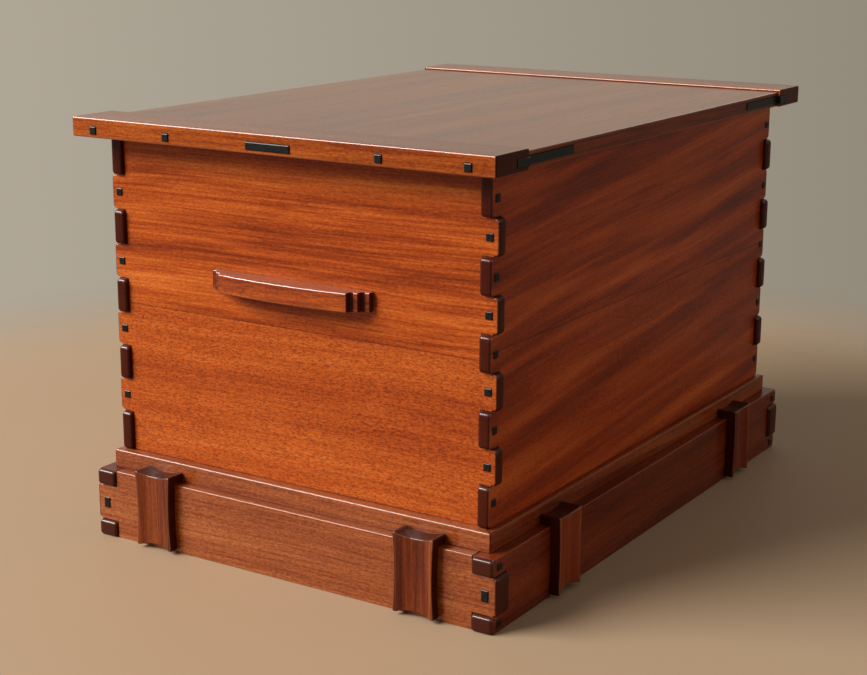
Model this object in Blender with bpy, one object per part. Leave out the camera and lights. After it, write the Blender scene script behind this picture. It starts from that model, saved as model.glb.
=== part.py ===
# Blanket chest in red hardwood: a finger-jointed box on a bracketed plinth, with a breadboard lid on butt hinges.
# Metres, +Z up. The origin is on the floor under the middle. X runs along the chest, and -Y is the front.
import math

import bmesh
import bpy
from mathutils import Matrix, Vector

# Clearance between pieces that touch
fit = 0.0003

# Box
box_length = 0.790
box_depth = 0.558
box_height = 0.4134
board = 0.015
finger_height = 0.0445
finger_proud = 0.007
finger_round = 0.0052
finger_ease = 0.0030
finger_root = 0.006

# Square plugs in the fingers
plug = 0.0095
plug_proud = 0.0015
plug_seat = 0.004
plug_in = 0.0127
plug_up = 0.0213

# Plinth rails
rail_over_end = 0.029
rail_over_front = 0.0225
rail_height = 0.0915
rail_thick = 0.0285
rail_finger = 0.0215
rail_proud = 0.0048
rail_round = 0.0044
rail_ease = 0.0038
rail_plug_tall = 0.0145

# Moulding between plinth and box
mould_over_end = 0.014
mould_over_front = 0.0078
mould_height = 0.0242
mould_width = 0.040
mould_ease = 0.0025

# Brackets on the plinth
bracket_width = 0.0575
bracket_proud = 0.0138
bracket_lift = 0.0045
bracket_above = 0.0128
bracket_land = 0.0045
bracket_lip = 0.0036
bracket_cove = 0.0045
bracket_dish = 0.0045
bracket_arch = 0.0034
bracket_waist = 0.0022
bracket_in_end = 0.1022
bracket_in_front = 0.160

# Bottom board
bottom_thick = 0.012
bottom_slack = 0.0005

# Lid
lid_length = 0.880
lid_depth = 0.6128
bread_width = 0.0724
bread_thick = 0.0248
bread_ease = 0.0022
panel_step = 0.0040
panel_back = 0.0055
panel_ease = 0.0018
tongue_long = 0.024
tongue_thick = 0.008
groove_slack = 0.0015

# Splines across the breadboard joints
spline_tall = 0.0098
spline_in_bread = 0.0275
spline_in_panel = 0.1115
spline_seat = 0.014
spline_proud = 0.0010
spline_mid = 0.0103
spline_ease = 0.0006

# Pegs in the breadboards
peg = 0.0095
peg_proud = 0.0016
peg_deep = 0.013
peg_ease = 0.0009
peg_mid = 0.0093
peg_long = 0.064
peg_in_outer = 0.0348
peg_in_inner = 0.1517

# Handles
handle_front = 0.192
handle_ledge = 0.011
handle_levels = 3
handle_level = 0.00825
handle_cove = 0.0035
handle_bow = 0.0062
handle_tall = 0.0240
handle_drop = 0.1542
handle_ease = 0.0020
groove_long = 0.150
groove_radius = 0.0105
groove_back = 0.0115

# Hinges
hinge_count = 3
hinge_spread = 0.290
leaf_long = 0.064
leaf_wide = 0.0125
leaf_thick = 0.0020
knuckle_radius = 0.0040
knuckle_gap = 0.0004
knuckle_clear = 0.0006
middle_knuckle = 0.0240
pin_radius = 0.0020
pin_clear = 0.0003
pin_head = 0.0035
pin_head_long = 0.0022

# Levels
mould_z = rail_height + fit
box_z = mould_z + mould_height + fit
box_top = box_z + box_height
lid_z = box_top + fit
half_length = box_length / 2
half_depth = box_depth / 2
mould_x = half_length + mould_over_end
mould_y = half_depth + mould_over_front
rail_x = half_length + rail_over_end
rail_y = half_depth + rail_over_front
lid_x = lid_length / 2
lid_y = lid_depth / 2
panel_x = lid_x - bread_width
panel_y = lid_y - panel_back
panel_thick = bread_thick - panel_step
pivot_y = half_depth + knuckle_radius + knuckle_clear - fit
pivot_z = box_top + fit / 2
handle_top = box_top - handle_drop
bracket_at_end = rail_y - bracket_in_end
bracket_at_front = rail_x - bracket_in_front
peg_inner = lid_y - peg_in_inner
peg_outer = lid_y - peg_in_outer

mahogany = (0.36, 0.125, 0.045)
ebony = (0.018, 0.017, 0.019)
brass = (0.62, 0.44, 0.18)

for old in list(bpy.data.objects):
    bpy.data.objects.remove(old, do_unlink=True)

parts = bpy.data.collections.new("Blanket_chest")
cutters = bpy.data.collections.new("Cutters")
bpy.context.scene.collection.children.link(parts)
bpy.context.scene.collection.children.link(cutters)
cutters.hide_render = True


def empty(name, place):
    holder = bpy.data.objects.new(name, None)
    holder.location = place
    parts.objects.link(holder)
    return holder


chest = empty("chest", (0, 0, 0))
lid = empty("lid_pivot", (0, pivot_y, pivot_z))
bpy.context.view_layer.update()

# The turn that brings a piece drawn for the front round to each side
turns = {"front": 0.0, "right": math.pi / 2, "back": math.pi, "left": -math.pi / 2}


def paint(name, colour, rough, metal):
    material = bpy.data.materials.new(name)
    material.use_nodes = True
    shader = material.node_tree.nodes["Principled BSDF"]
    shader.inputs["Base Color"].default_value = (*colour, 1)
    shader.inputs["Roughness"].default_value = rough
    shader.inputs["Metallic"].default_value = metal
    return material


def place(name, mesh, colour, matrix=None, holder=None, rough=0.35, metal=0.0):
    obj = bpy.data.objects.new(name, mesh)
    parts.objects.link(obj)
    obj.parent = holder or chest
    obj.matrix_parent_inverse = obj.parent.matrix_world.inverted()
    obj.matrix_basis = matrix or Matrix()
    obj.data = mesh if mesh.users == 1 else mesh.copy()
    obj.data.materials.clear()
    obj.data.materials.append(paint(name, colour, rough, metal))
    return obj


def helper(name, bm):
    mesh = bpy.data.meshes.new(name)
    bmesh.ops.recalc_face_normals(bm, faces=bm.faces)
    bm.to_mesh(mesh)
    bm.free()
    obj = bpy.data.objects.new(name, mesh)
    cutters.objects.link(obj)
    obj.hide_render = True
    obj.display_type = "WIRE"
    return obj


def mesh_of(name, bm):
    mesh = bpy.data.meshes.new(name)
    bmesh.ops.recalc_face_normals(bm, faces=bm.faces)
    bm.to_mesh(mesh)
    bm.free()
    return mesh


def add_box(bm, low, high):
    low = Vector(low)
    high = Vector(high)
    middle = Matrix.Translation((low + high) / 2)
    size = high - low
    return bmesh.ops.create_cube(bm, size=1, matrix=middle @ Matrix.Diagonal((*size, 1)))["verts"]


def add_rod(bm, radius, length, centre, turn, sides):
    frame = Matrix.Translation(centre) @ turn
    return bmesh.ops.create_cone(
        bm, cap_ends=True, segments=sides, radius1=radius, radius2=radius, depth=length, matrix=frame
    )["verts"]


def add_prism(bm, outline, axis, low, high):
    # A closed outline pushed along one axis: 1 draws in X and Z, 2 draws in X and Y.
    def at(point, level):
        return (point[0], level, point[1]) if axis == 1 else (point[0], point[1], level)

    face = bm.faces.new([bm.verts.new(at(point, low)) for point in outline])
    pushed = bmesh.ops.extrude_face_region(bm, geom=[face])
    verts = [item for item in pushed["geom"] if isinstance(item, bmesh.types.BMVert)]
    shift = (0, high - low, 0) if axis == 1 else (0, 0, high - low)
    bmesh.ops.translate(bm, verts=verts, vec=shift)
    bmesh.ops.recalc_face_normals(bm, faces=bm.faces)


def round_edges(bm, chosen, width, steps):
    edges = [edge for edge in bm.edges if chosen(edge)]
    bmesh.ops.bevel(
        bm, geom=edges, offset=width, segments=steps, profile=0.5, affect="EDGES", material=-1
    )


def both(edge, test):
    return test(edge.verts[0].co) and test(edge.verts[1].co)


def near(value, target):
    return abs(value - target) < 1e-6


def boolean(obj, other, operation):
    step = obj.modifiers.new(other.name, "BOOLEAN")
    step.object = other
    step.operation = operation
    step.solver = "EXACT"


def settled(name, bm, steps):
    # The mesh that a block has once its joins and cuts are made.
    block = helper(name + "_block", bm)
    for other, operation in steps:
        boolean(block, other, operation)
    bpy.context.view_layer.update()
    graph = bpy.context.evaluated_depsgraph_get()
    mesh = bpy.data.meshes.new_from_object(block.evaluated_get(graph))
    bpy.data.objects.remove(block, do_unlink=True)
    return mesh


def side_matrix(side, out):
    turn = Matrix.Rotation(turns[side], 4, "Z")
    return turn @ Matrix.Translation((0, -out, 0))


def finger_outline(half, thick, levels, first):
    # Levels bound the fingers from the bottom up. The first one is a finger on the long boards.
    short_u = half - thick - fit
    edge = []
    last = len(levels) - 2
    for i in range(last + 1):
        is_finger = (i % 2 == 0) == first
        slack = fit / 2 if is_finger else -fit / 2
        low = levels[i] + (slack if i > 0 else 0)
        high = levels[i + 1] - (slack if i < last else 0)
        u = half if is_finger else short_u
        edge.append((u, low))
        edge.append((u, high))
    return edge + [(-u, z) for u, z in reversed(edge)]


def finger_board(name, half, proud, thick, levels, first, corner, ease, plugs):
    # Fingers reach the neighbour's face, and a rounded block on each stands proud of it.
    bm = bmesh.new()
    add_prism(bm, finger_outline(half, thick, levels, first), 1, 0, thick)
    tips = bmesh.new()
    root = half - finger_root
    for low, high in list(zip(levels, levels[1:]))[0 if first else 1 :: 2]:
        for side in (-1, 1):
            ends = sorted((side * root, side * (half + proud)))
            add_box(tips, (ends[0], 0, low + fit / 2), (ends[1], thick, high - fit / 2))
    ends_on = lambda e: both(e, lambda co: near(abs(co.x), half + proud))
    round_edges(tips, lambda e: ends_on(e) and not near(e.verts[0].co.y, e.verts[1].co.y), corner, 3)
    at_root = lambda e: both(e, lambda co: near(abs(co.x), root))
    on_face = lambda e: both(e, lambda co: near(co.y, 0)) or both(e, lambda co: near(co.y, thick))
    round_edges(tips, lambda e: on_face(e) and not at_root(e), ease, 2)
    bosses = bmesh.new()
    for u, z, wide, tall in plugs:
        for side in (-1, 1):
            low = (side * u - wide / 2, -plug_proud, z - tall / 2)
            high = (side * u + wide / 2, plug_seat, z + tall / 2)
            add_box(bosses, low, high)
    steps = [(helper(name + "_tips", tips), "UNION"), (helper(name + "_plugs", bosses), "UNION")]
    return settled(name, bm, steps)


# Box panels
tip_finger = (box_height - 7 * finger_height) / 2
levels = [box_z, box_z + tip_finger]
for _ in range(7):
    levels.append(levels[-1] + finger_height)
levels.append(box_top)
middles = [(low + high) / 2 for low, high in zip(levels, levels[1:])]
long_levels = [levels[1] - plug_up] + [low + plug_up for low in levels[2:-1:2]]
long_plugs = [(half_length + finger_proud - plug_in, z, plug, plug) for z in long_levels]
end_plugs = [(half_depth + finger_proud - plug_in, z, plug, plug) for z in middles[1::2]]
long_panel = finger_board(
    "long_panel", half_length, finger_proud, board, levels, True, finger_round, finger_ease, long_plugs
)
end_panel = finger_board(
    "end_panel", half_depth, finger_proud, board, levels, False, finger_round, finger_ease, end_plugs
)
place("panel_front", long_panel, mahogany, side_matrix("front", half_depth))
panel_back_board = place("panel_back", long_panel, mahogany, side_matrix("back", half_depth))
place("panel_left_end", end_panel, mahogany, side_matrix("left", half_length))
place("panel_right_end", end_panel, mahogany, side_matrix("right", half_length))

# Bottom board, laid on the moulding's inner ledge
bm = bmesh.new()
inner_x = half_length - board - bottom_slack
inner_y = half_depth - board - bottom_slack
add_box(bm, (-inner_x, -inner_y, box_z), (inner_x, inner_y, box_z + bottom_thick))
place("bottom_board", mesh_of("bottom_board", bm), (0.40, 0.20, 0.09))

# Plinth rails
rail_levels = [0, rail_finger, rail_height - rail_finger, rail_height]
rail_in = (rail_thick + rail_proud) / 2
long_rail_plugs = [
    (rail_x + rail_proud - rail_in, z, plug, plug)
    for z in (rail_finger / 2, rail_height - rail_finger / 2)
]
end_rail_plugs = [(rail_y + rail_proud - rail_in, rail_height / 2, plug, rail_plug_tall)]
long_rail = finger_board(
    "long_rail", rail_x, rail_proud, rail_thick, rail_levels, True, rail_round, rail_ease, long_rail_plugs
)
end_rail = finger_board(
    "end_rail", rail_y, rail_proud, rail_thick, rail_levels, False, rail_round, rail_ease, end_rail_plugs
)
place("base_rail_front", long_rail, mahogany, side_matrix("front", rail_y))
place("base_rail_back", long_rail, mahogany, side_matrix("back", rail_y))
place("base_rail_left", end_rail, mahogany, side_matrix("left", rail_x))
place("base_rail_right", end_rail, mahogany, side_matrix("right", rail_x))


def moulding(name, half):
    # Mitred at both ends, with its outer top edge eased.
    bm = bmesh.new()
    outer = half - fit
    inner = outer - mould_width
    outline = [(-outer, 0), (outer, 0), (inner, mould_width), (-inner, mould_width)]
    add_prism(bm, outline, 2, mould_z, mould_z + mould_height)
    top = mould_z + mould_height
    round_edges(bm, lambda e: both(e, lambda co: near(co.y, 0) and near(co.z, top)), mould_ease, 2)
    return mesh_of(name, bm)


long_moulding = moulding("long_moulding", mould_x)
end_moulding = moulding("end_moulding", mould_y)
place("base_moulding_front", long_moulding, mahogany, side_matrix("front", mould_y))
place("base_moulding_back", long_moulding, mahogany, side_matrix("back", mould_y))
place("base_moulding_left", end_moulding, mahogany, side_matrix("left", mould_x))
place("base_moulding_right", end_moulding, mahogany, side_matrix("right", mould_x))


def bracket(name, shelf):
    # A block lapped over the rail's top as far as the moulding. Its sides are waisted, its front is coved,
    # its top is dished and its foot arched. Its frame has the rail's face at y = 0, and shelf is the rail's
    # ledge in front of the moulding.
    top = rail_height + bracket_above
    half = bracket_width / 2
    chord = half - bracket_land
    waist_steps = 8
    outline = []
    for i in range(waist_steps + 1):
        across = 2 * i / waist_steps - 1
        z = bracket_lift + (top - bracket_lift) * i / waist_steps
        outline.append((half - bracket_waist * (1 - across * across), z))
    outline += [(-u, z) for u, z in reversed(outline)]
    bm = bmesh.new()
    add_prism(bm, outline, 1, -bracket_proud, shelf - fit)
    lap = bmesh.new()
    add_box(lap, (-bracket_width, -fit, -rail_height), (bracket_width, 2 * shelf, rail_height + fit))
    cove_radius = (chord * chord + bracket_cove * bracket_cove) / (2 * bracket_cove)
    cove = bmesh.new()
    cove_at = (0, -bracket_proud - cove_radius + bracket_cove, top / 2)
    add_rod(cove, cove_radius, 2 * top, cove_at, Matrix.Rotation(math.pi / 2, 4, "Z"), 72)
    cuts = [("lap", lap), ("cove", cove)]
    for word, deep, level, sign in (("dish", bracket_dish, top, 1), ("arch", bracket_arch, bracket_lift, -1)):
        reach = half - bracket_lip
        radius = (reach * reach + deep * deep) / (2 * deep)
        rod = bmesh.new()
        rod_at = (0, 0, level + sign * (radius - deep))
        add_rod(rod, radius, 4 * (shelf + bracket_proud), rod_at, Matrix.Rotation(math.pi / 2, 4, "X"), 72)
        cuts.append((word, rod))
    return settled(name, bm, [(helper(name + "_" + word, cut), "DIFFERENCE") for word, cut in cuts])


front_bracket = bracket("front_bracket", rail_y - mould_y)
end_bracket = bracket("end_bracket", rail_x - mould_x)
for side, mesh, out, along in (
    ("front", front_bracket, rail_y, bracket_at_front),
    ("back", front_bracket, rail_y, bracket_at_front),
    ("left", end_bracket, rail_x, bracket_at_end),
    ("right", end_bracket, rail_x, bracket_at_end),
):
    for word, sign in (("a", -1), ("b", 1)):
        spot = side_matrix(side, out) @ Matrix.Translation((sign * along, 0, 0))
        place(f"bracket_{side}_{word}", mesh, mahogany, spot)


def handle():
    # A bowed bar whose ends step back to the panel, with a finger groove underneath.
    outline = []
    cove_steps = 4
    for level in range(handle_levels):
        u = handle_front / 2 + handle_ledge * (handle_levels - 1 - level)
        back = -fit - handle_level * level
        if level == 0:
            outline.append((u, back))
        else:
            for i in range(cove_steps + 1):
                turn = math.pi / 2 * i / cove_steps
                outline.append((u + handle_cove * (1 - math.sin(turn)), back - handle_cove * (1 - math.cos(turn))))
        outline.append((u, back - handle_level))
    side_points = len(outline)
    front = -fit - handle_level * handle_levels
    bow_steps = 12
    for i in range(1, bow_steps):
        t = 1 - 2 * i / bow_steps
        outline.append((t * handle_front / 2, front - handle_bow * (1 - t * t)))
    outline += [(-u, y) for u, y in reversed(outline[:side_points])]
    bm = bmesh.new()
    add_prism(bm, outline, 2, handle_top - handle_tall, handle_top)
    flat = (handle_top, handle_top - handle_tall)
    round_edges(
        bm,
        lambda e: both(e, lambda co: co.y < front + 1e-6)
        and near(e.verts[0].co.z, e.verts[1].co.z)
        and any(near(e.verts[0].co.z, z) for z in flat),
        handle_ease,
        2,
    )
    groove = bmesh.new()
    groove_at = (0, -groove_back, handle_top - handle_tall)
    add_rod(groove, groove_radius, groove_long, groove_at, Matrix.Rotation(math.pi / 2, 4, "Y"), 24)
    return settled("handle", bm, [(helper("handle_groove", groove), "DIFFERENCE")])


handle_mesh = handle()
place("handle_left", handle_mesh, mahogany, side_matrix("left", half_length))
place("handle_right", handle_mesh, mahogany, side_matrix("right", half_length))

# Hinges, set into the back panel's top edge and the lid's underside, with the barrels behind the back panel
hinge_xs = [hinge_spread * (i - (hinge_count - 1) / 2) for i in range(hinge_count)]
outer_knuckle = (leaf_long - middle_knuckle) / 2 - knuckle_gap
leaf_edge = pivot_y - knuckle_radius - knuckle_clear
lying = Matrix.Rotation(math.pi / 2, 4, "Y")


def hinge_leaf(name, low, spans):
    # A plate with bored knuckles; low is the plate's underside and spans are the knuckles' X ranges.
    bm = bmesh.new()
    add_box(bm, (-leaf_long / 2, leaf_edge - leaf_wide, low), (leaf_long / 2, leaf_edge, low + leaf_thick))
    steps = []
    for i, (left, right) in enumerate(spans):
        web = bmesh.new()
        add_box(web, (left, leaf_edge - leaf_thick, low), (right, pivot_y, low + leaf_thick))
        steps.append((helper(f"{name}_web_{i}", web), "UNION"))
        barrel = bmesh.new()
        add_rod(barrel, knuckle_radius, right - left, ((left + right) / 2, pivot_y, pivot_z), lying, 24)
        steps.append((helper(f"{name}_barrel_{i}", barrel), "UNION"))
    bore = bmesh.new()
    add_rod(bore, pin_radius + pin_clear, 2 * leaf_long, (0, pivot_y, pivot_z), lying, 24)
    steps.append((helper(name + "_bore", bore), "DIFFERENCE"))
    return settled(name, bm, steps)


half_leaf = leaf_long / 2
outer_spans = [(-half_leaf, -half_leaf + outer_knuckle), (half_leaf - outer_knuckle, half_leaf)]
middle_span = [(-middle_knuckle / 2, middle_knuckle / 2)]
box_leaf = hinge_leaf("box_leaf", box_top - leaf_thick, outer_spans)
lid_leaf = hinge_leaf("lid_leaf", lid_z, middle_span)
pin_bm = bmesh.new()
add_rod(pin_bm, pin_radius, leaf_long + 2 * fit + pin_head_long, (0, pivot_y, pivot_z), lying, 24)
heads = bmesh.new()
for sign in (-1, 1):
    head_at = (sign * (half_leaf + fit + pin_head_long / 2), pivot_y, pivot_z)
    add_rod(heads, pin_head, pin_head_long, head_at, lying, 24)
pin_mesh = settled("pin", pin_bm, [(helper("pin_heads", heads), "UNION")])
box_mortise = bmesh.new()
lid_mortise = bmesh.new()
barrel_room = bmesh.new()
for i, x in enumerate(hinge_xs):
    shift = Matrix.Translation((x, 0, 0))
    place(f"hinge_leaf_box_{i + 1}", box_leaf, brass, shift, rough=0.3, metal=1.0)
    place(f"hinge_pin_{i + 1}", pin_mesh, brass, shift, rough=0.3, metal=1.0)
    place(f"hinge_leaf_lid_{i + 1}", lid_leaf, brass, shift, lid, rough=0.3, metal=1.0)
    left = x - half_leaf - fit
    right = x + half_leaf + fit
    front = leaf_edge - leaf_wide - fit
    add_box(box_mortise, (left, front, box_top - leaf_thick - fit), (right, half_depth + board, box_top + board))
    add_box(lid_mortise, (left, front, lid_z - board), (right, leaf_edge + leaf_thick, lid_z + leaf_thick + fit))
    room = knuckle_radius + 2 * knuckle_clear
    ends = pin_head_long + 3 * fit
    low = (left - ends, pivot_y - room, pivot_z - board)
    add_box(barrel_room, low, (right + ends, pivot_y + room, pivot_z + room))
boolean(panel_back_board, helper("box_mortise", box_mortise), "DIFFERENCE")

# Lid panel, with a tongue at each end
bm = bmesh.new()
lid_top = lid_z + bread_thick
panel_top = lid_z + panel_thick
add_box(bm, (-panel_x + fit, -panel_y, lid_z), (panel_x - fit, panel_y, panel_top))
round_edges(
    bm,
    lambda e: both(e, lambda co: near(abs(co.y), panel_y)) and near(e.verts[0].co.z, e.verts[1].co.z),
    panel_ease,
    2,
)
tongue_mid = lid_z + panel_thick / 2
tongue_y = panel_y - spline_seat - 2 * groove_slack
tongues = bmesh.new()
add_box(
    tongues,
    (-panel_x - tongue_long, -tongue_y, tongue_mid - tongue_thick / 2),
    (panel_x + tongue_long, tongue_y, tongue_mid + tongue_thick / 2),
)
spline_z = lid_z + spline_mid
spline_low = spline_z - spline_tall / 2
spline_high = spline_z + spline_tall / 2
slots = bmesh.new()
for sx in (-1, 1):
    for sy in (-1, 1):
        ends = (sx * (panel_x - spline_in_panel - fit), sx * (panel_x + spline_in_bread + fit))
        deep = (sy * (panel_y - spline_seat - fit), sy * (lid_y + board))
        low = (min(ends), min(deep), spline_low - fit)
        add_box(slots, low, (max(ends), max(deep), spline_high + fit))
slot_cutter = helper("spline_slots", slots)
lid_cuts = [(helper("tongues", tongues), "UNION"), (slot_cutter, "DIFFERENCE")]
lid_cuts.append((helper("lid_mortise", lid_mortise), "DIFFERENCE"))
lid_cuts.append((helper("barrel_room", barrel_room), "DIFFERENCE"))
place("lid_panel", settled("lid_panel", bm, lid_cuts), mahogany, None, lid)

# Breadboard ends, grooved for the tongues and mortised for the pegs
peg_z = lid_z + peg_mid
peg_rows = [(-peg_outer, peg), (-peg_inner, peg), (0, peg_long), (peg_inner, peg), (peg_outer, peg)]
for side, sign in (("left", -1), ("right", 1)):
    bm = bmesh.new()
    ends = (sign * (panel_x + fit), sign * lid_x)
    add_box(bm, (min(ends), -lid_y, lid_z), (max(ends), lid_y, lid_top))
    round_edges(bm, lambda e: True, bread_ease, 2)
    groove = bmesh.new()
    ends = (sign * (panel_x - board), sign * (panel_x + tongue_long + groove_slack))
    low = (min(ends), -tongue_y - groove_slack, tongue_mid - tongue_thick / 2 - fit)
    add_box(groove, low, (max(ends), tongue_y + groove_slack, tongue_mid + tongue_thick / 2 + fit))
    holes = bmesh.new()
    for y, wide in peg_rows:
        ends = (sign * (lid_x - peg_deep - fit), sign * (lid_x + board))
        low = (min(ends), y - wide / 2 - fit, peg_z - peg / 2 - fit)
        add_box(holes, low, (max(ends), y + wide / 2 + fit, peg_z + peg / 2 + fit))
    cuts = [
        (helper(f"groove_{side}", groove), "DIFFERENCE"),
        (slot_cutter, "DIFFERENCE"),
        (helper(f"peg_holes_{side}", holes), "DIFFERENCE"),
    ]
    place(f"lid_breadboard_{side}", settled(f"breadboard_{side}", bm, cuts), mahogany, None, lid)
    number = 0
    for y, wide in peg_rows:
        bm = bmesh.new()
        ends = (sign * (lid_x - peg_deep), sign * (lid_x + peg_proud))
        add_box(bm, (min(ends), y - wide / 2, peg_z - peg / 2), (max(ends), y + wide / 2, peg_z + peg / 2))
        face = ends[1]
        round_edges(bm, lambda e: both(e, lambda co: near(co.x, face)), peg_ease, 2)
        number += wide == peg
        name = f"lid_peg_{side}_{number}" if wide == peg else f"lid_long_peg_{side}"
        place(name, mesh_of(name, bm), ebony, None, lid, 0.3)

# Splines, stepped like the lid's edge
for front, sy in (("front", -1), ("back", 1)):
    for side, sx in (("left", -1), ("right", 1)):
        name = f"lid_spline_{front}_{side}"
        stepped = [
            (panel_x - spline_in_panel, panel_y - spline_seat),
            (panel_x + spline_in_bread, panel_y - spline_seat),
            (panel_x + spline_in_bread, lid_y + spline_proud),
            (panel_x - spline_proud, lid_y + spline_proud),
            (panel_x - spline_proud, panel_y + spline_proud),
            (panel_x - spline_in_panel, panel_y + spline_proud),
        ]
        bm = bmesh.new()
        add_prism(bm, [(sx * x, sy * y) for x, y in stepped], 2, spline_low, spline_high)
        showing = lid_y + spline_proud
        round_edges(bm, lambda e: both(e, lambda co: near(abs(co.y), showing)), spline_ease, 2)
        place(name, mesh_of(name, bm), ebony, None, lid, 0.3)
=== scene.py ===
# Blanket chest in red mahogany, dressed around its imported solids
import math

import bmesh
import bpy
from mathutils import Matrix, Vector


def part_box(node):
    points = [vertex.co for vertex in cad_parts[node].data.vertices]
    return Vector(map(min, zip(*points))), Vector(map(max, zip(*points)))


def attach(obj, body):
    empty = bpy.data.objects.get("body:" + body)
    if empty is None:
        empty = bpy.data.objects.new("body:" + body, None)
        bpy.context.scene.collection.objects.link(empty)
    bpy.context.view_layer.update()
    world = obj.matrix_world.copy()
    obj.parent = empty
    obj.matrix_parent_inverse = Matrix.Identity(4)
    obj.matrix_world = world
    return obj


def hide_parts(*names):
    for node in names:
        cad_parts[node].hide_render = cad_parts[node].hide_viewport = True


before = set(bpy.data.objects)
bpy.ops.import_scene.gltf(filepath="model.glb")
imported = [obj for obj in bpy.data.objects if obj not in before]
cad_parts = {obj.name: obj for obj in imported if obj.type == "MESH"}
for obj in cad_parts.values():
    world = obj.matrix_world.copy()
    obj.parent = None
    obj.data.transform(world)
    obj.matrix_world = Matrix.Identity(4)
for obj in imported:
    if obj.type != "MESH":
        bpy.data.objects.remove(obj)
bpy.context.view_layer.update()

scene = bpy.context.scene
scene.view_settings.view_transform = "Standard"
print("frame:", len(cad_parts), "solids")

# Camera, at the photograph's viewing angle
cameraView = {
    "place": (-2.0004, -1.2223, 0.8147),
    "azimuth": -57.5091,
    "elevation": 14.2272,
    "roll": 0.2795,
    "lens": 71.297,
    "sensor": 36.0,
}


def aimCamera(view):
    turn = math.radians(view["azimuth"])
    lift = math.radians(view["elevation"])
    roll = math.radians(view["roll"])
    back = Vector((math.sin(turn) * math.cos(lift), -math.cos(turn) * math.cos(lift), math.sin(lift)))
    right = Vector((0, 0, 1)).cross(back).normalized()
    up = back.cross(right)
    across = right * math.cos(roll) + up * math.sin(roll)
    above = up * math.cos(roll) - right * math.sin(roll)
    data = bpy.data.cameras.new("camera")
    data.sensor_fit = "HORIZONTAL"
    data.sensor_width = view["sensor"]
    data.lens = view["lens"]
    camera = bpy.data.objects.new("camera", data)
    scene.collection.objects.link(camera)
    facing = Matrix((across, above, back)).transposed().to_4x4()
    camera.matrix_world = Matrix.Translation(view["place"]) @ facing
    scene.camera = camera


aimCamera(cameraView)
print("camera set")


def feed(tree, node, inputs):
    # Inputs are plain values, or the sockets that are linked in
    for key, value in inputs.items():
        if isinstance(value, bpy.types.NodeSocket):
            tree.links.new(value, node.inputs[key])
        else:
            node.inputs[key].default_value = value


def wire(tree, kind, inputs=None, **settings):
    node = tree.nodes.new("ShaderNode" + kind)
    for key, value in settings.items():
        setattr(node, key, value)
    feed(tree, node, inputs or {})
    return node


def calc(tree, operation, *values):
    return wire(tree, "Math", dict(enumerate(values)), operation=operation).outputs[0]


def calcVector(tree, operation, *values):
    return wire(tree, "VectorMath", dict(enumerate(values)), operation=operation).outputs[0]


def blendColour(tree, mode, amount, first, second):
    node = wire(tree, "Mix", {0: amount, 6: first, 7: second}, data_type="RGBA", blend_type=mode)
    return node.outputs[2]


def stretch(tree, vector, scales, detail, rough=0.5, distortion=0.0):
    # Noise drawn out along the grain: scales are features a metre along it, across it and through it
    inputs = {
        "Vector": calcVector(tree, "MULTIPLY", vector, scales),
        "Scale": 1.0, "Detail": detail, "Roughness": rough, "Distortion": distortion,
    }
    return wire(tree, "TexNoise", inputs).outputs


def window(tree, value, low, high, first=0.0, last=1.0):
    inputs = {"Value": value, "From Min": low, "From Max": high, "To Min": first, "To Max": last}
    return wire(tree, "MapRange", inputs).outputs[0]


def swing(tree, noise, share, base):
    # The base, moved up and down by the noise
    return calc(tree, "MULTIPLY_ADD", calc(tree, "SUBTRACT", noise, 0.5), share, base)


def toneRamp(tree, value, stops, colours):
    ramp = wire(tree, "ValToRGB", {0: value})
    points = ramp.color_ramp.elements
    while len(points) < len(stops):
        points.new(0.5)
    for point, at, colour in zip(points, stops, colours):
        point.position = at
        point.color = (*colour, 1)
    return ramp.outputs[0]


def roughen(tree, height, strength, depth):
    return wire(tree, "Bump", {"Strength": strength, "Distance": depth, "Height": height}).outputs[0]


def newMaterial(name):
    material = bpy.data.materials.new(name)
    material.use_nodes = True
    return material, material.node_tree, material.node_tree.nodes["Principled BSDF"]


# Mahogany: the tones and the varnish that all its cuts share
mahoganyLook = {
    "stops": (0.26, 0.40, 0.50, 0.60, 0.74),
    "colours": (
        (0.150, 0.0185, 0.0020),
        (0.260, 0.0355, 0.0030),
        (0.370, 0.0590, 0.0050),
        (0.460, 0.0880, 0.0085),
        (0.580, 0.1400, 0.0180),
    ),
    "middle": 0.5,  # where on the stops a board without figure lies
    "fleckTint": (0.42, 0.30, 0.30, 1),
    "endGrain": (0.044, 0.0046, 0.0016),
    "endRings": 1.2,
    "endShare": 0.95,
    # Painted highlight: the tint that lightens the rounded edges, in patches
    "edgeHighlightTint": (0.50, 0.13, 0.030, 1),
    "edgeHighlightShare": (0.05, 0.30),
    "glueTint": (0.25, 0.2, 0.2, 1),
    "glueLine": (0.0005, 0.0012),  # full to here, gone by there
    "glueShare": 0.55,
    "rough": (0.24, 0.36),
    "fleckRough": 0.25,
    "edgeCoat": 1.0,
    "uprightTips": 0.2,  # share of a finger tip's coat on its upright faces
    "hazeRough": 0.35,
    "hazeTint": (1.0, 0.925, 0.78, 1),
    "bump": 0.16,
    "bumpDepth": 0.0004,
    "fleckDepth": -0.8,
}

# Grain: scales, detail, roughness and distortion of each kind of noise
grain = {
    "broad": ((0.9, 22, 22), 2.0),
    "fine": ((6.5, 270, 270), 4.0, 0.62),
    "ribbon": ((2.6, 34, 34), 2.0, 0.5, 0.25),
    "pore": ((150, 900, 900), 2.0),
    "speckle": ((230, 460, 460), 1.5),
    "dash": ((170, 600, 600), 3.0, 0.6),
}
grainBend = {"noise": ((1.6, 3.0, 3.0), 1.0), "reach": (0.0, 0.030, 0.016)}
dashShare = 0.40

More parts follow.
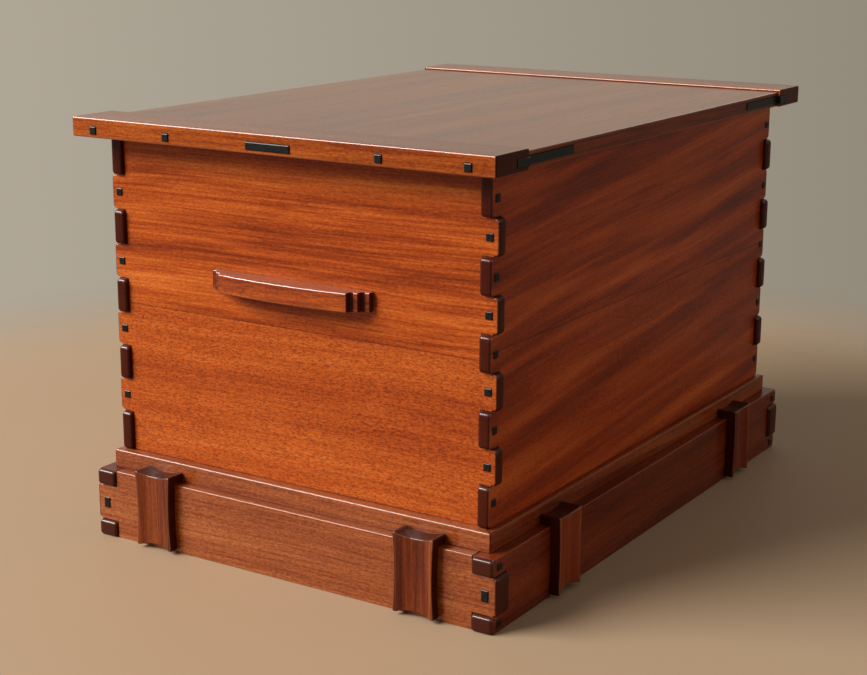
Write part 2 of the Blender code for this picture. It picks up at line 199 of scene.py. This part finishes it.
# Two planks in a panel: the lower one is plainer and more flecked than the upper one
planks = {
    "shift": (3.7, 1.31, 2.13),
    "lowerBands": 0.5,
    "lowerStreaks": 0.45,
    "lowerFlecks": 1.35,
    "upperFlecks": 0.7,
}

# Cuts of the wood: axes are grain, width and thickness, and tilt leans the figure off the grain, in degrees
plainCut = {
    "joint": None,  # height at which the two planks of a panel meet
    "lift": 0.0,  # how much lighter the lower plank is
    "tipCoat": 0.0,
    "sideCoat": 1.0,
    "coatRough": 0.10,
    "coatIor": 1.5,
    "shine": 0.12,
    "haze": 0.0,
    # share of the colour kept on faces that look upwards; the rest is painted shade
    "topShade": 1.0,
    "endTone": (1, 1, 1),
}
woodCuts = {
    "front": {
        "axes": "xzy", "seed": (0.7, 2.1, 0.4), "tilt": -5.0, "joint": 0.325,
        "bands": 0.52, "streaks": 0.36, "ribbons": 0.92, "flecks": 0.30,
        "tone": (1.02, 0.80, 0.95), "coat": 0.13, "tipCoat": 0.9,
    },
    "back": {
        "axes": "xzy", "seed": (5.7, 8.3, 2.4), "tilt": 4.0, "joint": 0.325,
        "bands": 0.56, "streaks": 0.40, "ribbons": 0.80, "flecks": 0.30,
        "tone": (1.02, 0.80, 0.95), "coat": 0.13, "tipCoat": 0.9,
    },
    "end": {
        "axes": "yzx", "seed": (2.9, 4.4, 1.7), "tilt": 0.8, "joint": 0.314, "lift": 0.055,
        "bands": 0.56, "streaks": 0.72, "ribbons": 0.36, "flecks": 0.55,
        "tone": (1.18, 1.28, 1.75), "coat": 0.18, "tipCoat": 0.6,
    },
    "lid": {
        "axes": "xyz", "seed": (1.3, 0.9, 3.3), "tilt": 0.6,
        "bands": 0.68, "streaks": 0.68, "ribbons": 0.32, "flecks": 0.25,
        "tone": (0.42, 0.48, 0.52), "coat": 0.15, "coatRough": 0.30, "haze": 0.44, "shine": 0.02,
    },
    "lid_edge": {
        "axes": "xyz", "seed": (1.3, 0.9, 3.3), "tilt": 0.6,
        "bands": 0.68, "streaks": 0.68, "ribbons": 0.32, "flecks": 0.25,
        "tone": (0.56, 0.49, 0.52), "coat": 0.14,
    },
    "breadboard": {
        "axes": "yxz", "seed": (4.2, 6.1, 0.8), "tilt": 0.5,
        "bands": 0.56, "streaks": 0.68, "ribbons": 0.28, "flecks": 0.42,
        "tone": (1.04, 1.30, 1.85), "topShade": 0.49, "endTone": (1.2, 1.9, 2.6),
        "coat": 0.15, "coatRough": 0.20, "coatIor": 1.7, "haze": 0.29, "shine": 0.05,
    },
    "along": {
        "axes": "xzy", "seed": (7.7, 3.2, 5.1), "tilt": 1.0,
        "bands": 0.56, "streaks": 0.48, "ribbons": 0.40, "flecks": 0.50,
        "tone": (0.74, 0.84, 2.10), "coat": 0.20, "sideCoat": 0.4,
    },
    "rail": {
        "axes": "xzy", "seed": (2.2, 7.4, 3.6), "tilt": -1.5,
        "bands": 0.60, "streaks": 0.44, "ribbons": 0.52, "flecks": 0.45,
        "tone": (0.51, 0.43, 0.85), "endTone": (1.15, 2.2, 3.6),
        "coat": 0.17, "tipCoat": 0.8, "sideCoat": 0.4,
    },
    "across": {
        "axes": "yzx", "seed": (3.4, 9.3, 6.2), "tilt": 0.5,
        "bands": 0.30, "streaks": 0.56, "ribbons": 0.24, "flecks": 0.62,
        "tone": (0.87, 1.28, 3.30), "coat": 0.60, "tipCoat": 0.45,
    },
    "bracket": {
        "axes": "zyx", "seed": (8.8, 1.6, 2.5), "tilt": 0.5,
        "bands": 1.20, "streaks": 0.88, "ribbons": 0.80, "flecks": 0.22,
        "tone": (0.46, 0.47, 0.84), "coat": 0.32, "tipCoat": 0.9,
    },
    "front_bracket": {
        "axes": "zxy", "seed": (1.8, 6.6, 4.5), "tilt": 0.5,
        "bands": 0.80, "streaks": 0.92, "ribbons": 0.60, "flecks": 0.25,
        "tone": (0.50, 0.35, 0.50), "coat": 0.22, "tipCoat": 0.9,
    },
    "handle": {
        "axes": "yzx", "seed": (6.3, 5.5, 7.9), "tilt": 0.5,
        "bands": 0.56, "streaks": 0.60, "ribbons": 0.28, "flecks": 0.50,
        "tone": (1.20, 1.36, 1.80),
        "coat": 0.16, "topCoat": 0.85, "coatRough": 0.12, "coatIor": 1.9, "haze": 0.22,
    },
}


def tinted(tone, colour):
    return [t * c for t, c in zip(tone, colour)]


def grainPlace(tree, place, upper, cut):
    # Places along, across and through the grain, which wanders a little
    axes = {i: place["xyz".index(axis)] for i, axis in enumerate(cut["axes"])}
    local = wire(tree, "CombineXYZ", axes).outputs[0]
    lean = (0, 0, math.radians(cut["tilt"]))
    board = wire(tree, "Mapping", {"Vector": local, "Location": cut["seed"], "Rotation": lean}).outputs[0]
    if upper is not None:
        board = calcVector(tree, "MULTIPLY_ADD", upper, planks["shift"], board)
    bend = stretch(tree, board, *grainBend["noise"])["Color"]
    return calcVector(tree, "MULTIPLY_ADD", bend, grainBend["reach"], board)


def woodFigure(tree, noise, upper, cut):
    bands, streaks, level = cut["bands"], cut["streaks"], mahoganyLook["middle"]
    if upper is not None:
        bands = window(tree, upper, 0, 1, planks["lowerBands"] * bands, bands)
        streaks = window(tree, upper, 0, 1, planks["lowerStreaks"] * streaks, streaks)
        level = window(tree, upper, 0, 1, level + cut["lift"], level)
    figure = swing(tree, noise["broad"], bands, level)
    figure = swing(tree, noise["ribbon"], cut["ribbons"], figure)
    figure = swing(tree, noise["fine"], streaks, figure)
    return swing(tree, noise["dash"], dashShare, figure)


def woodFlecks(tree, noise, upper, cut):
    share = cut["flecks"]
    if upper is not None:
        share = window(tree, upper, 0, 1, planks["lowerFlecks"] * share, planks["upperFlecks"] * share)
    pores = window(tree, noise["pore"], 0.36, 0.46, 1.0, 0.0)
    spots = window(tree, noise["speckle"], 0.50, 0.66)
    return calc(tree, "MULTIPLY", calc(tree, "MAXIMUM", pores, spots), share)


def varnish(tree, up, along, endGrainAndShade, arris, cut):
    # Coat by face: thin on the flats, full on the rounded edges that face upwards, its own on the finger tips
    flat = window(tree, up, 0.6, 0.95, cut["coat"], cut.get("topCoat", cut["coat"]))
    lit = calc(tree, "MULTIPLY", arris, window(tree, up, -0.4, 0.0))
    edge = window(tree, along, 0.1, 0.5, cut["sideCoat"], mahoganyLook["edgeCoat"])
    coat = window(tree, lit, 0.0, 1.0, flat, edge)
    tips = window(tree, up, 0.05, 0.45, mahoganyLook["uprightTips"] * cut["tipCoat"], cut["tipCoat"])
    return calc(tree, "MULTIPLY", coat, window(tree, endGrainAndShade, 0.0, 1.0, 1.0, tips))


def makeMahogany(name, cut):
    material, tree, shader = newMaterial("mahogany_" + name)
    coord = wire(tree, "TexCoord").outputs
    place = wire(tree, "SeparateXYZ", {0: coord["Object"]}).outputs
    upper = calc(tree, "GREATER_THAN", place["Z"], cut["joint"]) if cut["joint"] else None
    board = grainPlace(tree, place, upper, cut)
    noise = {kind: stretch(tree, board, *sizes)[0] for kind, sizes in grain.items()}
    flecks = woodFlecks(tree, noise, upper, cut)

    tones = [tinted(cut["tone"], colour) for colour in mahoganyLook["colours"]]
    wood = toneRamp(tree, woodFigure(tree, noise, upper, cut), mahoganyLook["stops"], tones)
    wood = blendColour(tree, "MULTIPLY", flecks, wood, mahoganyLook["fleckTint"])
    if upper is not None:
        offset = calc(tree, "ABSOLUTE", calc(tree, "SUBTRACT", place["Z"], cut["joint"]))
        line = window(tree, offset, *mahoganyLook["glueLine"], mahoganyLook["glueShare"], 0.0)
        wood = blendColour(tree, "MULTIPLY", line, wood, mahoganyLook["glueTint"])

    facing = wire(tree, "SeparateXYZ", {0: coord["Normal"]}).outputs
    along = calc(tree, "ABSOLUTE", facing["xyz".index(cut["axes"][0])])
    # The "tip" layer marks finger and step ends, which are end grain, and faces given painted shade in the
    # end grain's colour
    tip = wire(tree, "Attribute", attribute_name="tip").outputs["Fac"]
    arris = wire(tree, "Attribute", attribute_name="arris").outputs["Fac"]
    endGrainAndShade = calc(tree, "MAXIMUM", window(tree, along, 0.12, 0.5), tip)

    # Painted shade: faces that look upwards are darkened
    shade = window(tree, facing["Z"], 0.6, 0.95, 0.0, 1.0 - cut["topShade"])
    wood = blendColour(tree, "MULTIPLY", shade, wood, (0, 0, 0, 1))
    rings = swing(tree, noise["pore"], mahoganyLook["endRings"], 1.0)
    endTone = (*tinted(cut["endTone"], mahoganyLook["endGrain"]), 1)
    endWood = blendColour(tree, "MULTIPLY", 1.0, endTone, rings)
    wood = blendColour(tree, "MIX", calc(tree, "MULTIPLY", endGrainAndShade, mahoganyLook["endShare"]), wood, endWood)
    # Painted highlight on the rounded edges, in patches, left off the end grain and the painted shade
    edgeHighlight = calc(tree, "MULTIPLY", arris, window(tree, noise["broad"], 0.35, 0.65, *mahoganyLook["edgeHighlightShare"]))
    edgeHighlight = calc(tree, "MULTIPLY", edgeHighlight, calc(tree, "SUBTRACT", 1.0, endGrainAndShade))
    wood = blendColour(tree, "MIX", edgeHighlight, wood, mahoganyLook["edgeHighlightTint"])

    rough = window(tree, noise["fine"], 0.3, 0.7, *mahoganyLook["rough"])
    height = calc(tree, "MULTIPLY_ADD", flecks, mahoganyLook["fleckDepth"], noise["fine"])
    feed(tree, shader, {
        "Base Color": wood,
        "Roughness": calc(tree, "MULTIPLY_ADD", flecks, mahoganyLook["fleckRough"], rough),
        "Specular IOR Level": cut["shine"],
        "Coat Weight": varnish(tree, facing["Z"], along, endGrainAndShade, arris, cut),
        "Coat Roughness": cut["coatRough"],
        "Coat IOR": cut["coatIor"],
        "Sheen Weight": cut["haze"],
        "Sheen Roughness": mahoganyLook["hazeRough"],
        "Sheen Tint": mahoganyLook["hazeTint"],
        "Normal": roughen(tree, height, mahoganyLook["bump"], mahoganyLook["bumpDepth"]),
    })
    return material


woods = {name: makeMahogany(name, {**plainCut, **cut}) for name, cut in woodCuts.items()}
print("mahogany:", len(woods), "cuts")

ebonyLook = {
    "stops": (0.36, 0.66),
    "colours": ((0.0035, 0.0036, 0.0042), (0.013, 0.0135, 0.0150)),
    "grain": ((260, 260, 900), 4.0, 0.6),
    "cloud": ((55, 55, 90), 2.0),
    "shares": (0.6, 0.4),  # grain, cloud
    "rough": (0.24, 0.42),
    "shine": 0.16,
    "coat": 0.05,
    "topCoat": 1.0,
    "coatRough": 0.16,
    "bump": 0.12,
    "bumpDepth": 0.0003,
}


def makeEbony(look):
    material, tree, shader = newMaterial("ebony")
    coord = wire(tree, "TexCoord").outputs
    fine = stretch(tree, coord["Object"], *look["grain"])[0]
    cloud = stretch(tree, coord["Object"], *look["cloud"])[0]
    fineShare, cloudShare = look["shares"]
    mixed = calc(tree, "MULTIPLY_ADD", cloud, cloudShare, calc(tree, "MULTIPLY", fine, fineShare))
    up = wire(tree, "SeparateXYZ", {0: coord["Normal"]}).outputs["Z"]
    feed(tree, shader, {
        "Base Color": toneRamp(tree, mixed, look["stops"], look["colours"]),
        "Roughness": window(tree, fine, 0.3, 0.7, *look["rough"]),
        "Specular IOR Level": look["shine"],
        "Coat Weight": window(tree, up, 0.25, 0.6, look["coat"], look["topCoat"]),
        "Coat Roughness": look["coatRough"],
        "Normal": roughen(tree, fine, look["bump"], look["bumpDepth"]),
    })
    return material


# Brass: the leaves and pins, and the duller screws
brassLook = {
    "brushed": ((60, 1600, 1600), 3.0),
    "stain": ((85, 85, 85), 4.0, 0.6),
    "rough": (0.12, 0.24),
    "stainRough": 0.25,
    "bump": 0.08,
    "bumpDepth": 0.0002,
}
brassTones = {
    "brass": ((0.70, 0.50, 0.20, 1), (0.36, 0.23, 0.085, 1)),
    "aged_brass": ((0.46, 0.31, 0.12, 1), (0.20, 0.125, 0.05, 1)),
}


def makeBrass(name, look):
    material, tree, shader = newMaterial(name)
    coord = wire(tree, "TexCoord").outputs["Object"]
    brushed = stretch(tree, coord, *look["brushed"])[0]
    stain = stretch(tree, coord, *look["stain"])[0]
    rough = window(tree, brushed, 0.3, 0.7, *look["rough"])
    feed(tree, shader, {
        "Base Color": blendColour(tree, "MIX", window(tree, stain, 0.42, 0.68), *brassTones[name]),
        "Metallic": 1.0,
        "Roughness": calc(tree, "MULTIPLY_ADD", stain, look["stainRough"], rough),
        "Normal": roughen(tree, brushed, look["bump"], look["bumpDepth"]),
    })
    return material


bottomLook = {
    "seed": (0.3, 5.2, 1.1),
    "stops": (0.34, 0.68),
    "colours": ((0.20, 0.075, 0.026), (0.52, 0.27, 0.115)),
    "broad": ((1.4, 22, 22), 2.0),
    "fine": ((6, 240, 240), 4.0, 0.6),
    "shares": (0.55, 0.45),  # broad, fine
    "rough": (0.38, 0.55),
    "bump": 0.15,
    "bumpDepth": 0.0004,
}


def makeBottomWood(look):
    material, tree, shader = newMaterial("bottom_wood")
    coord = wire(tree, "TexCoord").outputs["Object"]
    board = wire(tree, "Mapping", {"Vector": coord, "Location": look["seed"]}).outputs[0]
    broad = stretch(tree, board, *look["broad"])[0]
    fine = stretch(tree, board, *look["fine"])[0]
    broadShare, fineShare = look["shares"]
    mixed = calc(tree, "MULTIPLY_ADD", fine, fineShare, calc(tree, "MULTIPLY", broad, broadShare))
    feed(tree, shader, {
        "Base Color": toneRamp(tree, mixed, look["stops"], look["colours"]),
        "Roughness": window(tree, fine, 0.3, 0.7, *look["rough"]),
        "Normal": roughen(tree, fine, look["bump"], look["bumpDepth"]),
    })
    return material


ebony = makeEbony(ebonyLook)
brass = makeBrass("brass", brassLook)
agedBrass = makeBrass("aged_brass", brassLook)
bottomWood = makeBottomWood(bottomLook)
print("ebony, brass and bottom wood")

# How closely meshes are merged and flattened, and which edges count as sharp
meshCare = {"weld": 2e-5, "flat": math.radians(0.6), "sharp": math.radians(52)}


def finishPiece(name, bm, body, material):
    # A mesh with its place in it, smooth but for its sharp edges, on its body
    mesh = bpy.data.meshes.new(name)
    bm.to_mesh(mesh)
    bm.free()
    for polygon in mesh.polygons:
        polygon.use_smooth = True
    mesh.set_sharp_from_angle(angle=meshCare["sharp"])
    mesh.materials.append(material)
    piece = bpy.data.objects.new(name, mesh)
    scene.collection.objects.link(piece)
    smooth = piece.modifiers.new("flat faces", "WEIGHTED_NORMAL")
    smooth.keep_sharp = True
    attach(piece, body)
    return piece


def joinFlats(bm):
    bmesh.ops.dissolve_limit(bm, angle_limit=meshCare["flat"], verts=bm.verts, edges=bm.edges)


def mergedCopy(node):
    bm = bmesh.new()
    bm.from_mesh(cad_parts[node].data)
    bmesh.ops.remove_doubles(bm, verts=bm.verts, dist=meshCare["weld"])
    joinFlats(bm)
    return bm


def closeHoles(bm):
    bmesh.ops.holes_fill(bm, edges=[e for e in bm.edges if e.is_boundary], sides=0)


def easeArrises(bm, width, steps):
    # Rounds the sharp outer edges, and marks all rounded ones for the painted edge highlight and the gloss
    sharp = [
        e for e in bm.edges
        if len(e.link_faces) == 2 and e.is_convex and e.calc_face_angle(0) > meshCare["sharp"]
    ]
    bmesh.ops.bevel(
        bm, geom=sharp, offset=width, segments=steps, profile=0.5, affect="EDGES", material=-1,
        clamp_overlap=False,
    )
    mark = bm.faces.layers.float.new("arris")
    for face in bm.faces:
        swell = sum(e.calc_face_angle_signed(0) for e in face.edges)
        if swell > 0 and max(abs(n) for n in face.normal) < 0.93:
            face[mark] = 1.0


plugLook = {"proud": 0.0015, "seat": 0.003, "round": 0.0011, "steps": 3, "corner": 0.0006, "cornerSteps": 2}


def liftBosses(bm, out):
    # Takes the raised plugs off a board, closes the face behind them and gives their places
    top = max(v.co.dot(out) for v in bm.verts)
    places = []
    for face in bm.faces:
        if abs(face.calc_center_median().dot(out) - top) < meshCare["weld"]:
            corners = [v.co for v in face.verts]
            places.append((
                Vector([min(c[i] for c in corners) for i in range(3)]),
                Vector([max(c[i] for c in corners) for i in range(3)]),
            ))
    raised = [v for v in bm.verts if v.co.dot(out) > top - plugLook["proud"] + 1e-4]
    bmesh.ops.delete(bm, geom=raised, context="VERTS")
    closeHoles(bm)
    joinFlats(bm)
    return places


def ebonyPlug(bm, low, high, out):
    # One pillowed plug, from its front face back into its seat
    deep = plugLook["proud"] + plugLook["seat"]
    size = Vector([max(high[i] - low[i], deep * abs(out[i])) for i in range(3)])
    middle = (low + high) / 2 - out * (deep / 2)
    place = Matrix.Translation(middle) @ Matrix.Diagonal((*size, 1))
    verts = bmesh.ops.create_cube(bm, size=1, matrix=place)["verts"]
    faces = {f for v in verts for f in v.link_faces}
    edges = {e for f in faces for e in f.edges}
    front = max(faces, key=lambda f: f.calc_center_median().dot(out))
    uprights = [e for e in edges if len(set(e.verts) & set(front.verts)) == 1]
    bmesh.ops.bevel(
        bm, geom=uprights, offset=plugLook["corner"], segments=plugLook["cornerSteps"], profile=0.5,
        affect="EDGES", material=-1,
    )
    fronts = [
        f for f in bm.faces
        if f.normal.dot(out) > 0.9 and (f.calc_center_median() - middle).length < 0.01
    ]
    front = max(fronts, key=lambda f: f.calc_area())
    bmesh.ops.bevel(
        bm, geom=list(front.edges), offset=plugLook["round"], segments=plugLook["steps"], profile=0.5,
        affect="EDGES", material=-1,
    )


def ebonyPlugs(name, places, out, body):
    bm = bmesh.new()
    for low, high in places:
        ebonyPlug(bm, low, high, out)
    bmesh.ops.recalc_face_normals(bm, faces=bm.faces)
    finishPiece(name, bm, body, ebony)
    print(name, len(places))


def markTips(bm, axis, reach, out):
    # Finger ends past the neighbouring board's face: their end faces show end grain, and their top, bottom
    # and inner sides take painted shade in the end grain's colour; their outer sides stay long grain
    along = Vector([float(i == axis) for i in range(3)])
    for end in (-1, 1):
        whole = bm.verts[:] + bm.edges[:] + bm.faces[:]
        bmesh.ops.bisect_plane(bm, geom=whole, dist=1e-6, plane_co=along * reach * end, plane_no=along)
    mark = bm.faces.layers.float.new("tip")
    for face in bm.faces:
        if abs(face.calc_center_median()[axis]) > reach and face.normal.dot(out) < 0.5:
            face[mark] = 1.0


# Boards with plugs: outward side, wood, arris, axis of the grain and the board that its fingers pass
boards = {
    "panel_front": ((0, -1, 0), "front", 0.0006, 0, "panel_right_end"),
    "panel_back": ((0, 1, 0), "back", 0.0006, 0, "panel_right_end"),
    "panel_left_end": ((-1, 0, 0), "end", 0.0006, 1, "panel_back"),
    "panel_right_end": ((1, 0, 0), "end", 0.0006, 1, "panel_back"),
    "base_rail_front": ((0, -1, 0), "rail", 0.0014, 0, "base_rail_right"),
    "base_rail_back": ((0, 1, 0), "rail", 0.0014, 0, "base_rail_right"),
    "base_rail_left": ((-1, 0, 0), "across", 0.0014, 1, "base_rail_back"),
    "base_rail_right": ((1, 0, 0), "across", 0.0014, 1, "base_rail_back"),
}
arrisSteps = 2
tipSlack = 5e-5  # keeps the neighbour's own face out of the tip
for node, (side, wood, arris, axis, passed) in boards.items():
    out = Vector(side)
    bm = mergedCopy(node)
    places = liftBosses(bm, out)
    easeArrises(bm, arris, arrisSteps)
    markTips(bm, axis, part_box(passed)[1][axis] - plugLook["proud"] + tipSlack, out)
    piece = finishPiece(node + "_board", bm, "chest", woods[wood])
    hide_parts(node)
    ebonyPlugs(node + "_plugs", places, out, "chest")
print("boards:", len(boards))


def darkenSides(bm, across, least, past, rest=0.0):
    # Darker faces: the brackets' sides are darkened, partly as painted shade; on the handles the step ends
    # are end grain, and the coves and ledges beside them carry painted shadow of the step above
    mark = bm.faces.layers.float.new("tip")
    for face in bm.faces:
        if abs(face.normal.z) < 0.5 and abs(face.calc_center_median()[across]) > past:
            face[mark] = 1.0 if abs(face.normal[across]) > least else rest


def shadeInside(bm, inward, amount):
    # Painted shade: the breadboards' inner sides, which stand above the lid panel, are darkened
    mark = bm.faces.layers.float.new("tip")
    for face in bm.faces:
        if face.normal.dot(inward) > 0.98:
            face[mark] = amount


def finishEdges(piece, material):
    # All but a board's upper face in another finish
    piece.data.materials.append(material)
    for polygon in piece.data.polygons:
        if polygon.normal.z < 0.9:
            polygon.material_index = 1


# Other wooden pieces: wood and arris
dressed = {
    "base_moulding_front": ("along", 0.0006),
    "base_moulding_back": ("along", 0.0006),
    "base_moulding_left": ("across", 0.0006),
    "base_moulding_right": ("across", 0.0006),
    "handle_left": ("handle", 0.0019),
    "handle_right": ("handle", 0.0019),
    "lid_panel": ("lid", 0.0005),
    "lid_breadboard_left": ("breadboard", 0.0005),
    "lid_breadboard_right": ("breadboard", 0.0005),
}
bracketWoods = {"front": "front_bracket", "back": "front_bracket", "left": "bracket", "right": "bracket"}
bracketArris = 0.0018
for side, wood in bracketWoods.items():
    for word in ("a", "b"):
        dressed[f"bracket_{side}_{word}"] = (wood, bracketArris)
# Painted shade, in part, on the brackets' sides, and painted shadow on the handles' coves and ledges
bracketDarkSides = {"least": 0.9, "past": 0.0}
handleEndsAndShadow = {"least": 0.05, "past": 0.0955, "rest": 0.35}
breadboardInnerShade = 0.8
for node, (wood, arris) in dressed.items():
    bm = mergedCopy(node)
    easeArrises(bm, arris, arrisSteps)
    if node.startswith("bracket"):
        darkenSides(bm, 0 if "front" in node or "back" in node else 1, **bracketDarkSides)
    elif node.startswith("handle"):
        darkenSides(bm, 1, **handleEndsAndShadow)
    elif node.startswith("lid_breadboard"):
        shadeInside(bm, Vector((1 if "left" in node else -1, 0, 0)), breadboardInnerShade)
    body = "lid" if node.startswith("lid") else "chest"
    piece = finishPiece(node + "_wood", bm, body, woods[wood])
    if node == "lid_panel":
        finishEdges(piece, woods["lid_edge"])
    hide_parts(node)
print("other wooden pieces:", len(dressed))

# Hinges, with round barrels
hingeLook = {"arris": 0.00012, "steps": 1}
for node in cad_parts:
    if node.startswith("hinge"):
        bm = mergedCopy(node)
        easeArrises(bm, hingeLook["arris"], hingeLook["steps"])
        piece = finishPiece(node + "_brass", bm, "lid" if "lid" in node else "chest", brass)
        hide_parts(node)
print("hinges")

# Solids whose shape is right keep their mesh and take the finish
for name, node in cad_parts.items():
    if "peg" in name or "spline" in name:
        finish = ebony
    elif name == "bottom_board":
        finish = bottomWood
    else:
        continue
    node.data.materials.clear()
    node.data.materials.append(finish)
print("kept solids finished")

# Hinge screws: slotted heads, all but flush with the leaves
screwLook = {
    "radius": 0.0028,
    "rim": 0.0003,
    "proud": 0.00010,
    "slot": 0.0008,
    "points": 32,
    "leaf": 0.0125,
    "apart": 0.00015,  # from the pin's height to a leaf's face
    "spots": (-0.022, 0.0, 0.022),
    "turns": (20, -35, 65),
}


def screwHalf(bm, place, half):
    # A low cone, cut back to one side of the slot
    verts = bmesh.ops.create_cone(
        bm, cap_ends=True, segments=screwLook["points"], radius1=screwLook["radius"],
        radius2=screwLook["radius"] - screwLook["rim"], depth=screwLook["proud"],
        matrix=place @ Matrix.Translation((0, 0, screwLook["proud"] / 2)),
    )["verts"]
    edges = {e for v in verts for e in v.link_edges}
    faces = {f for v in verts for f in v.link_faces}
    bmesh.ops.bisect_plane(
        bm, geom=[*verts, *edges, *faces], dist=1e-6, clear_inner=True,
        plane_co=place @ Vector((0, half * screwLook["slot"] / 2, 0)),
        plane_no=place.to_3x3() @ Vector((0, half, 0)),
    )
    closeHoles(bm)


def hingeScrews(node, body, up):
    low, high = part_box(node)
    level = (low[2] + high[2]) / 2 - up * screwLook["apart"]
    flip = Matrix.Rotation(0 if up > 0 else math.pi, 4, "X")
    bm = bmesh.new()
    for spot, turn in zip(screwLook["spots"], screwLook["turns"]):
        centre = Vector(((low[0] + high[0]) / 2 + spot, low[1] + screwLook["leaf"] / 2, level))
        place = Matrix.Translation(centre) @ Matrix.Rotation(math.radians(turn), 4, "Z") @ flip
        for half in (-1, 1):
            screwHalf(bm, place, half)
    bmesh.ops.recalc_face_normals(bm, faces=bm.faces)
    finishPiece(node + "_screws", bm, body, agedBrass)


for i in (1, 2, 3):
    hingeScrews(f"hinge_leaf_box_{i}", "chest", 1)
    hingeScrews(f"hinge_leaf_lid_{i}", "lid", -1)
print("hinge screws:", 6 * len(screwLook["spots"]))

# Floor, backdrop and light
floorLook = {
    "colour": (0.47, 0.335, 0.215, 1),
    "rough": 0.6,
    "shine": 0.2,
    "radius": 1.7,
    "points": 96,
    "fade": (0.95, 1.6),
}


def makeFloor(look):
    bm = bmesh.new()
    bmesh.ops.create_circle(bm, cap_ends=True, segments=look["points"], radius=look["radius"])
    mesh = bpy.data.meshes.new("floor")
    bm.to_mesh(mesh)
    bm.free()
    floor = bpy.data.objects.new("floor", mesh)
    scene.collection.objects.link(floor)
    material, tree, shader = newMaterial("floor")
    feed(tree, shader, {
        "Base Color": look["colour"], "Roughness": look["rough"], "Specular IOR Level": look["shine"],
    })
    coord = wire(tree, "TexCoord").outputs["Object"]
    reach = wire(tree, "VectorMath", {0: coord}, operation="LENGTH").outputs["Value"]
    near, far = look["fade"]
    fade = {"Value": reach, "From Min": near, "From Max": far}
    gone = wire(tree, "MapRange", fade, interpolation_type="SMOOTHSTEP").outputs[0]
    clear = wire(tree, "BsdfTransparent").outputs[0]
    both = wire(tree, "MixShader", {0: gone, 1: shader.outputs[0], 2: clear}).outputs[0]
    tree.links.new(both, tree.nodes["Material Output"].inputs["Surface"])
    mesh.materials.append(material)


# Backdrop: a wall that is lit on one side, brighter higher up, over a dim even light from above
wallLook = {
    "lit": (0.57, 0.51, 0.415, 1),
    "dim": (0.19, 0.165, 0.125, 1),
    "dimSide": (0.75, -0.66, 0.0),
    "dimFade": (-0.45, 0.85),
    "top": (0.95, 0.89, 0.80, 1),
    "topRise": (0.0, 0.14),
    "topFade": (-0.35, 0.75),
    "ambient": (0.175, 0.160, 0.140, 1),
    "ambientRise": (-0.1, 0.05),
}


def makeWorld(look):
    world = bpy.data.worlds.new("studio")
    scene.world = world
    world.use_nodes = True
    tree = world.node_tree
    tree.nodes.clear()
    direction = wire(tree, "TexCoord").outputs["Generated"]
    sideways = {0: direction, 1: look["dimSide"]}
    aside = wire(tree, "VectorMath", sideways, operation="DOT_PRODUCT").outputs["Value"]
    height = wire(tree, "SeparateXYZ", {0: direction}).outputs["Z"]
    wall = blendColour(tree, "MIX", window(tree, aside, *look["dimFade"]), look["lit"], look["dim"])
    rise = window(tree, height, *look["topRise"])
    lit = calc(tree, "MULTIPLY", rise, window(tree, aside, *look["topFade"], 1.0, 0.0))
    wall = blendColour(tree, "MIX", lit, wall, look["top"])
    above = window(tree, height, *look["ambientRise"])
    ambient = blendColour(tree, "MIX", above, (0, 0, 0, 1), look["ambient"])
    ray = wire(tree, "LightPath").outputs
    seen = calc(tree, "MAXIMUM", ray["Is Camera Ray"], ray["Is Glossy Ray"])
    seen = calc(tree, "MAXIMUM", seen, ray["Is Transmission Ray"])
    colour = blendColour(tree, "MIX", seen, ambient, wall)
    background = wire(tree, "Background", {"Color": colour, "Strength": 1.0}).outputs[0]
    wire(tree, "OutputWorld", {"Surface": background})


lamps = {
    "key": {"place": (-5.7, 5.1, 5.2), "size": (6.5, 3.8), "power": 1215.0, "colour": (1.0, 0.965, 0.92)},
    "fill": {"place": (1.1, -2.9, 1.15), "size": (2.6, 1.6), "power": 11.0, "colour": (1.0, 0.95, 0.90)},
}
lampAim = (0, 0, 0.28)


def makeLamp(name, look):
    data = bpy.data.lights.new(name, "AREA")
    data.shape = "RECTANGLE"
    data.size, data.size_y = look["size"]
    data.energy = look["power"]
    data.color = look["colour"]
    lamp = bpy.data.objects.new(name, data)
    scene.collection.objects.link(lamp)
    lamp.location = look["place"]
    lamp.visible_camera = False
    lamp.rotation_euler = (Vector(lampAim) - lamp.location).to_track_quat("-Z", "Y").to_euler()


makeFloor(floorLook)
makeWorld(wallLook)
for name, look in lamps.items():
    makeLamp(name, look)
print("floor, backdrop and", len(lamps), "lamps")
